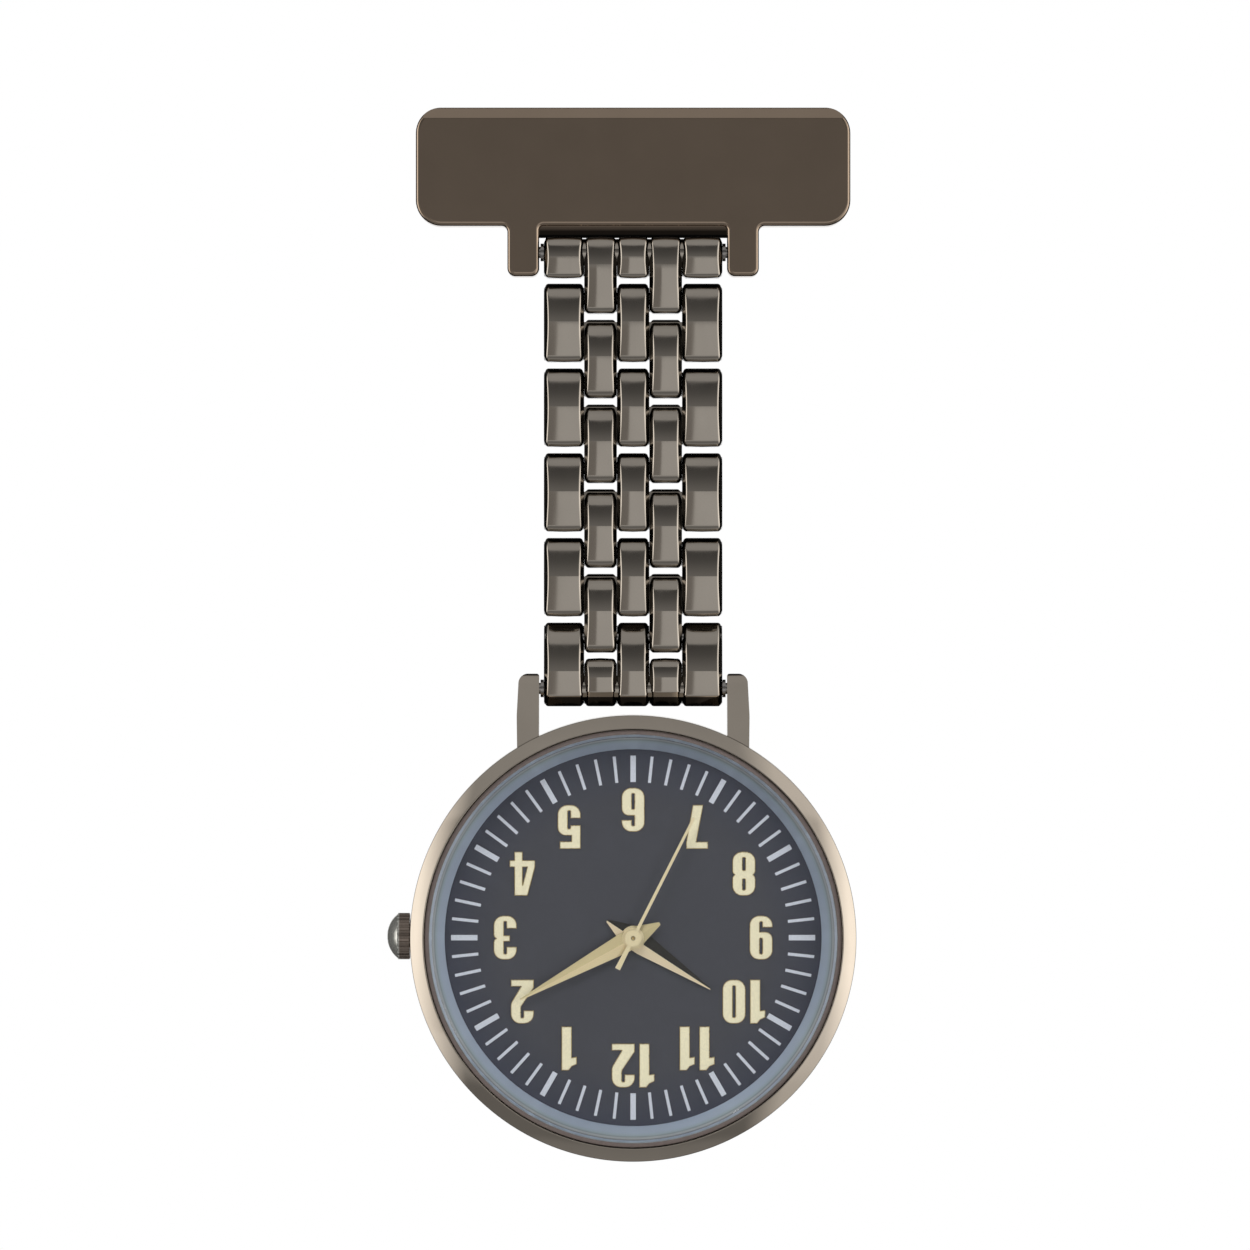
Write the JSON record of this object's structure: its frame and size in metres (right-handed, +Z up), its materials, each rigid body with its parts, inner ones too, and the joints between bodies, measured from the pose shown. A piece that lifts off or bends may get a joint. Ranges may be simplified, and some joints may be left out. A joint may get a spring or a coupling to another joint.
{
  "type": "nurse's fob watch",
  "caption": "Fob watch hung from a brooch bar by a jointed steel bracelet, with an inverted dial, working hands and a pull-out crown.",
  "frame": {"origin": "on the axis of the brooch needle, midway along the brooch bar", "axes": "+Z up towards the bar's top edge, +X to the right seen from the dial side, -Y towards the viewer of the dial; the watch hangs straight down"},
  "size_m": [0.0347, 0.0075, 0.0779],
  "materials": {
    "polished_steel": "polished gunmetal-toned steel plating",
    "case_steel": "polished gunmetal-toned steel plating",
    "pin_steel": "ground steel",
    "needle_steel": "polished spring steel",
    "catch_steel": "satin plated steel",
    "spring_steel": "drawn wire",
    "back_steel": "satin stainless steel",
    "glass": "clear mineral glass",
    "seal": "black seal",
    "clear_seal": "translucent nylon ring",
    "ring_grey": "satin blue-grey",
    "dial_slate": "satin slate",
    "numeral_gold": "gold outline",
    "numeral_cream": "cream luminous paint",
    "mark_white": "silver-white print",
    "hand_gold": "polished pale gold",
    "brass": "machined brass",
    "plate_metal": "nickel-plated plate",
    "white_plastic": "moulded acetal",
    "cell": "nickel-plated can",
    "board": "green laminate",
    "copper": "enamelled copper wire",
    "soft_iron": "annealed laminate",
    "gear_steel": "machined steel"
  },
  "bodies": {
    "brooch": {"brooch_bar": "polished_steel", "needle_hinge_bracket": "catch_steel", "needle_hinge_rivet": "pin_steel", "catch_bracket": "catch_steel", "upper_spring_bar_tube": "pin_steel", "upper_spring_bar_pivots": "pin_steel", "upper_spring_bar_spring": "spring_steel"},
    "needle": {"brooch_needle": "needle_steel"},
    "catch": {"catch_rotor": "catch_steel"},
    "top_link": {"upper_end_link": "polished_steel"},
    "bracelet_link_1": {"link_1": "polished_steel", "link_pin_1": "pin_steel"},
    "bracelet_link_2": {"link_2": "polished_steel", "link_pin_2": "pin_steel"},
    "bracelet_link_3": {"link_3": "polished_steel", "link_pin_3": "pin_steel"},
    "bracelet_link_4": {"link_4": "polished_steel", "link_pin_4": "pin_steel"},
    "bottom_link": {"lower_end_link": "polished_steel", "link_pin_5": "pin_steel"},
    "watch_head": {"case_body": "case_steel", "bezel": "case_steel", "crystal": "glass", "crystal_gasket": "clear_seal", "dial_ring": "ring_grey", "dial": "dial_slate", "numeral_rims": "numeral_gold", "numeral_fills": "numeral_cream", "minute_track": "mark_white", "case_back": "back_steel", "case_back_gasket": "seal", "crown_tube": "pin_steel", "movement_ring": "white_plastic", "main_plate": "plate_metal", "train_bridge": "plate_metal", "bridge_screws": "pin_steel", "button_cell": "cell", "cell_strap": "spring_steel", "circuit_board": "board", "quartz_crystal": "cell", "coil": "copper", "stator": "soft_iron", "lower_spring_bar_tube": "pin_steel", "lower_spring_bar_pivots": "pin_steel", "lower_spring_bar_spring": "spring_steel"},
    "crown_seal": {"crown_gasket": "seal"},
    "crown_and_stem": {"crown": "case_steel", "stem": "gear_steel", "clutch_pinion": "gear_steel"},
    "lever": {"setting_lever": "gear_steel"},
    "seconds": {"seconds_wheel": "brass", "second_hand": "hand_gold"},
    "third": {"third_wheel": "brass"},
    "fifth": {"fifth_wheel": "white_plastic"},
    "motor_rotor": {"rotor": "gear_steel"},
    "minutes": {"centre_wheel": "brass", "minute_hand": "hand_gold"},
    "motion_wheel": {"minute_wheel": "brass"},
    "hours": {"hour_wheel": "brass", "hour_hand": "hand_gold"}
  },
  "joints": [
    {"name": "needle_swing", "type": "hinge", "parent": "brooch", "child": "needle", "pos_m": [-0.0122, 0, 0], "axis": [0, 0, 1], "range_deg": [0, 75]},
    {"name": "catch_turn", "type": "hinge", "parent": "brooch", "child": "catch", "pos_m": [0.0122, 0, 0], "axis": [-1, 0, 0], "range_deg": [0, 120]},
    {"name": "upper_bar_hinge", "type": "hinge", "parent": "brooch", "child": "top_link", "pos_m": [0, -0.0027, -0.0073], "axis": [1, 0, 0], "range_deg": [-70, 70]},
    {"name": "link_pin_1_hinge", "type": "hinge", "parent": "top_link", "child": "bracelet_link_1", "pos_m": [0, -0.0027, -0.01072], "axis": [-1, 0, 0], "range_deg": [-60, 60]},
    {"name": "link_pin_2_hinge", "type": "hinge", "parent": "bracelet_link_1", "child": "bracelet_link_2", "pos_m": [0, -0.0027, -0.017], "axis": [1, 0, 0], "range_deg": [-60, 60]},
    {"name": "link_pin_3_hinge", "type": "hinge", "parent": "bracelet_link_2", "child": "bracelet_link_3", "pos_m": [0, -0.0027, -0.02328], "axis": [-1, 0, 0], "range_deg": [-60, 60]},
    {"name": "link_pin_4_hinge", "type": "hinge", "parent": "bracelet_link_3", "child": "bracelet_link_4", "pos_m": [0, -0.0027, -0.02956], "axis": [1, 0, 0], "range_deg": [-60, 60]},
    {"name": "link_pin_5_hinge", "type": "hinge", "parent": "bracelet_link_4", "child": "bottom_link", "pos_m": [0, -0.0027, -0.03584], "axis": [-1, 0, 0], "range_deg": [-60, 60]},
    {"name": "lower_bar_hinge", "type": "hinge", "parent": "bottom_link", "child": "watch_head", "pos_m": [0, -0.0027, -0.0396], "axis": [1, 0, 0], "range_deg": [-60, 60]},
    {"name": "crown_pull", "type": "slide", "parent": "watch_head", "child": "crown_seal", "axis": [-1, 0, 0], "range_m": [0, 0.0005]},
    {"name": "crown_turn", "type": "hinge", "parent": "crown_seal", "child": "crown_and_stem", "pos_m": [-0.017, -0.0015, -0.058], "axis": [-1, 0, 0], "continuous": true},
    {"name": "lever_swing", "type": "hinge", "parent": "watch_head", "child": "lever", "pos_m": [-0.00795, 0, -0.05651], "axis": [0, 1, 0], "range_deg": [0, 19.3]},
    {"name": "seconds_spin", "type": "hinge", "parent": "watch_head", "child": "seconds", "pos_m": [0, 0, -0.058], "axis": [0, 1, 0], "continuous": true},
    {"name": "third_spin", "type": "hinge", "parent": "watch_head", "child": "third", "pos_m": [0.0018, 0, -0.06112], "axis": [0, 1, 0], "continuous": true},
    {"name": "fifth_spin", "type": "hinge", "parent": "watch_head", "child": "fifth", "pos_m": [-0.0018, 0, -0.05488], "axis": [0, 1, 0], "continuous": true},
    {"name": "rotor_spin", "type": "hinge", "parent": "watch_head", "child": "motor_rotor", "pos_m": [-0.00456, 0, -0.0544], "axis": [0, 1, 0], "continuous": true},
    {"name": "minute_spin", "type": "hinge", "parent": "watch_head", "child": "minutes", "pos_m": [0, 0, -0.058], "axis": [0, 1, 0], "continuous": true},
    {"name": "motion_spin", "type": "hinge", "parent": "watch_head", "child": "motion_wheel", "pos_m": [-0.00208, 0, -0.0592], "axis": [0, 1, 0], "continuous": true},
    {"name": "hour_spin", "type": "hinge", "parent": "watch_head", "child": "hours", "pos_m": [0, 0, -0.058], "axis": [0, 1, 0], "continuous": true}
  ],
  "couplings": [
    {"joint": "lever_swing", "follows": "crown_pull", "rad_per_m": 669.79},
    {"joint": "third_spin", "follows": "seconds_spin", "ratio": -0.125},
    {"joint": "fifth_spin", "follows": "seconds_spin", "ratio": -5},
    {"joint": "rotor_spin", "follows": "seconds_spin", "ratio": 30},
    {"joint": "minute_spin", "follows": "seconds_spin", "ratio": 0.016667},
    {"joint": "motion_spin", "follows": "seconds_spin", "ratio": -0.0055556},
    {"joint": "hour_spin", "follows": "seconds_spin", "ratio": 0.0013889}
  ]
}
